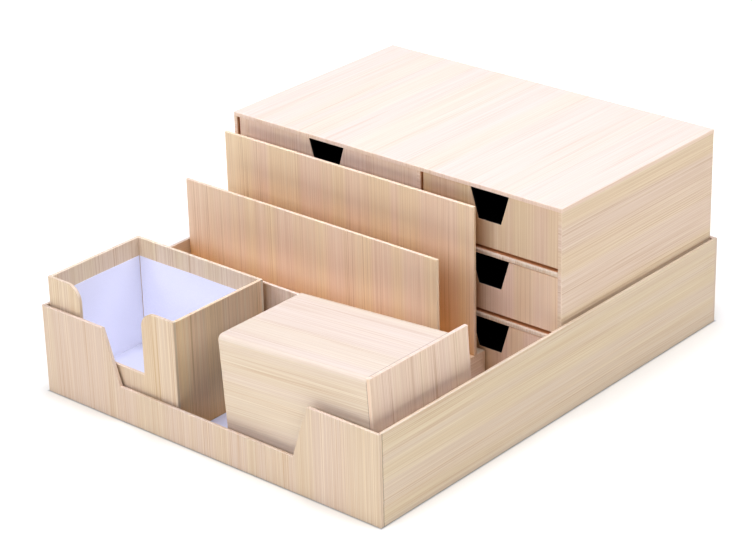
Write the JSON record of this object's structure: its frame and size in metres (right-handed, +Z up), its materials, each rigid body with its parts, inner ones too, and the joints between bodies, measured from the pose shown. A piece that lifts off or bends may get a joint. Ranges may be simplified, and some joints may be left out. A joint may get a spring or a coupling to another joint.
{
  "type": "desk organizer",
  "caption": "Desk organizer: an open tray holding a drawer cabinet, a letter rack, a memo box and a pen cup, all of board wrapped in wood-grain paper.",
  "frame": {"origin": "centre of the tray's underside, where it rests on the desk", "axes": "+X to the user's right, +Y from the dipped front wall to the drawer cabinet at the back, +Z up"},
  "size_m": [0.282, 0.3474, 0.1387],
  "materials": {
    "tray_paper": "satin wood-grain paper over greyboard",
    "cabinet_paper": "satin wood-grain paper over greyboard",
    "drawer_front_paper": "satin wood-grain paper over greyboard",
    "drawer_inside_paper": "matte black paper over greyboard",
    "rack_paper": "satin wood-grain paper over greyboard",
    "memo_box_paper": "satin wood-grain paper over greyboard",
    "pen_cup_paper": "satin wood-grain paper over greyboard",
    "lining_paper": "matte white lining paper"
  },
  "bodies": {
    "tray": {"tray_floor": "tray_paper", "tray_front_wall": "tray_paper", "tray_rear_wall": "tray_paper", "tray_left_wall": "tray_paper", "tray_right_wall": "tray_paper"},
    "cabinet": {"cabinet_top": "cabinet_paper", "cabinet_left_side": "cabinet_paper", "cabinet_right_side": "cabinet_paper", "cabinet_back": "cabinet_paper", "cabinet_floor": "cabinet_paper", "cabinet_partition": "cabinet_paper", "left_lower_shelf": "cabinet_paper", "left_upper_shelf": "cabinet_paper", "right_lower_shelf": "cabinet_paper", "right_upper_shelf": "cabinet_paper"},
    "bottom_left_drawer": {"bottom_left_drawer_front": "drawer_front_paper", "bottom_left_drawer_floor": "drawer_inside_paper", "bottom_left_drawer_left_wall": "drawer_inside_paper", "bottom_left_drawer_right_wall": "drawer_inside_paper", "bottom_left_drawer_rear_wall": "drawer_inside_paper"},
    "middle_left_drawer": {"middle_left_drawer_front": "drawer_front_paper", "middle_left_drawer_floor": "drawer_inside_paper", "middle_left_drawer_left_wall": "drawer_inside_paper", "middle_left_drawer_right_wall": "drawer_inside_paper", "middle_left_drawer_rear_wall": "drawer_inside_paper"},
    "top_left_drawer": {"top_left_drawer_front": "drawer_front_paper", "top_left_drawer_floor": "drawer_inside_paper", "top_left_drawer_left_wall": "drawer_inside_paper", "top_left_drawer_right_wall": "drawer_inside_paper", "top_left_drawer_rear_wall": "drawer_inside_paper"},
    "bottom_right_drawer": {"bottom_right_drawer_front": "drawer_front_paper", "bottom_right_drawer_floor": "drawer_inside_paper", "bottom_right_drawer_left_wall": "drawer_inside_paper", "bottom_right_drawer_right_wall": "drawer_inside_paper", "bottom_right_drawer_rear_wall": "drawer_inside_paper"},
    "middle_right_drawer": {"middle_right_drawer_front": "drawer_front_paper", "middle_right_drawer_floor": "drawer_inside_paper", "middle_right_drawer_left_wall": "drawer_inside_paper", "middle_right_drawer_right_wall": "drawer_inside_paper", "middle_right_drawer_rear_wall": "drawer_inside_paper"},
    "top_right_drawer": {"top_right_drawer_front": "drawer_front_paper", "top_right_drawer_floor": "drawer_inside_paper", "top_right_drawer_left_wall": "drawer_inside_paper", "top_right_drawer_right_wall": "drawer_inside_paper", "top_right_drawer_rear_wall": "drawer_inside_paper"},
    "letter_rack": {"rack_deck": "rack_paper", "rack_low_panel": "rack_paper", "rack_middle_divider": "rack_paper", "rack_tall_divider": "rack_paper", "rack_left_skirt": "rack_paper", "rack_right_skirt": "rack_paper", "rack_rear_skirt": "rack_paper"},
    "memo_box": {"memo_box_floor": "lining_paper", "memo_box_front_wall": "memo_box_paper", "memo_box_rear_wall": "memo_box_paper", "memo_box_left_wall": "memo_box_paper", "memo_box_right_wall": "memo_box_paper"},
    "pen_cup": {"pen_cup_barrel": "pen_cup_paper", "pen_cup_base_plate": "pen_cup_paper"}
  },
  "joints": [
    {"name": "cabinet_lift", "type": "slide", "parent": "tray", "child": "cabinet", "axis": [0, 0, 1], "range_m": [0, 0.14]},
    {"name": "bottom_left_drawer_slide", "type": "slide", "parent": "cabinet", "child": "bottom_left_drawer", "axis": [0, -1, 0], "range_m": [0, 0.0023]},
    {"name": "middle_left_drawer_slide", "type": "slide", "parent": "cabinet", "child": "middle_left_drawer", "axis": [0, -1, 0], "range_m": [0, 0.0103]},
    {"name": "top_left_drawer_slide", "type": "slide", "parent": "cabinet", "child": "top_left_drawer", "axis": [0, -1, 0], "range_m": [0, 0.0103]},
    {"name": "bottom_right_drawer_slide", "type": "slide", "parent": "cabinet", "child": "bottom_right_drawer", "axis": [0, -1, 0], "range_m": [0, 0.0023]},
    {"name": "middle_right_drawer_slide", "type": "slide", "parent": "cabinet", "child": "middle_right_drawer", "axis": [0, -1, 0], "range_m": [0, 0.0103]},
    {"name": "top_right_drawer_slide", "type": "slide", "parent": "cabinet", "child": "top_right_drawer", "axis": [0, -1, 0], "range_m": [0, 0.0103]},
    {"name": "letter_rack_lift", "type": "slide", "parent": "tray", "child": "letter_rack", "axis": [0, 0, 1], "range_m": [0, 0.14]},
    {"name": "memo_box_lift", "type": "slide", "parent": "tray", "child": "memo_box", "axis": [0, 0, 1], "range_m": [0, 0.14]},
    {"name": "pen_cup_lift", "type": "slide", "parent": "tray", "child": "pen_cup", "axis": [0, 0, 1], "range_m": [0, 0.14]}
  ]
}
